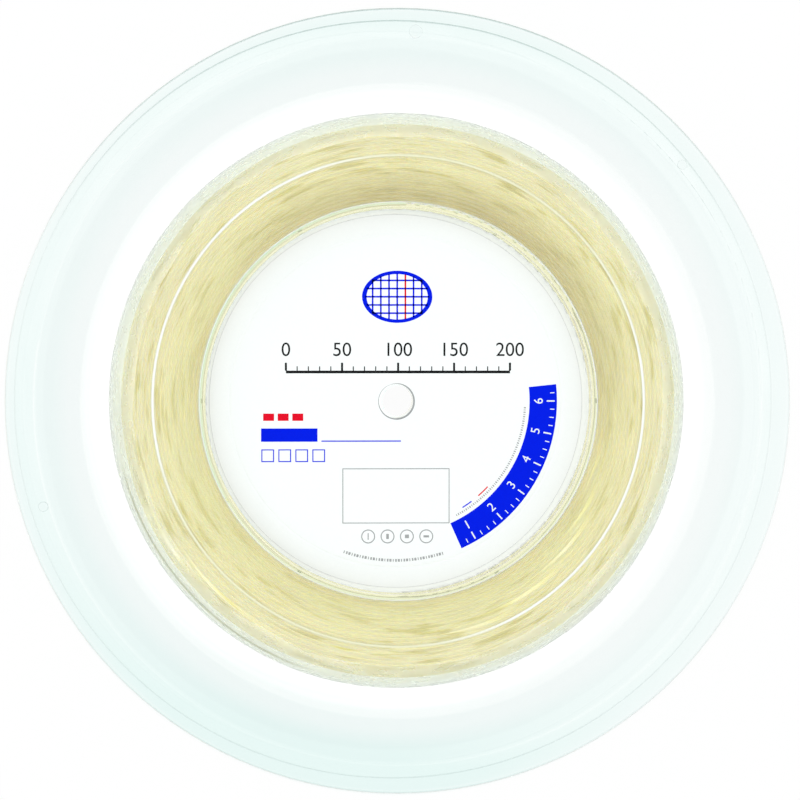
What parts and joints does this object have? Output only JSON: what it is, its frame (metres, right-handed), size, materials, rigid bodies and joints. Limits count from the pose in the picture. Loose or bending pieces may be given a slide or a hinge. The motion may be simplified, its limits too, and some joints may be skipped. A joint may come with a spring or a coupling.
{
  "type": "string reel",
  "caption": "Clear plastic reel of racket string with dished flanges, a recessed round label on each side and a spindle bore through the hub.",
  "frame": {"origin": "centre of the spindle bore, midway between the two rims", "axes": "+Z along the bore towards the front label, +Y towards the top of the front label"},
  "size_m": [0.256, 0.256, 0.038],
  "materials": {
    "clear_plastic": "clear moulded styrene, faint cyan tint",
    "string": "natural multifilament string with a thin clear coat",
    "film": "clear stretch film",
    "tape": "clear adhesive tape",
    "label": "coated white label paper, satin"
  },
  "bodies": {
    "root": {"front_half": "clear_plastic", "rear_half": "clear_plastic", "string_winding": "string", "string_start": "string", "film_wrap": "film", "film_tape": "tape", "front_label": "label", "rear_label": "label"}
  },
  "joints": []
}
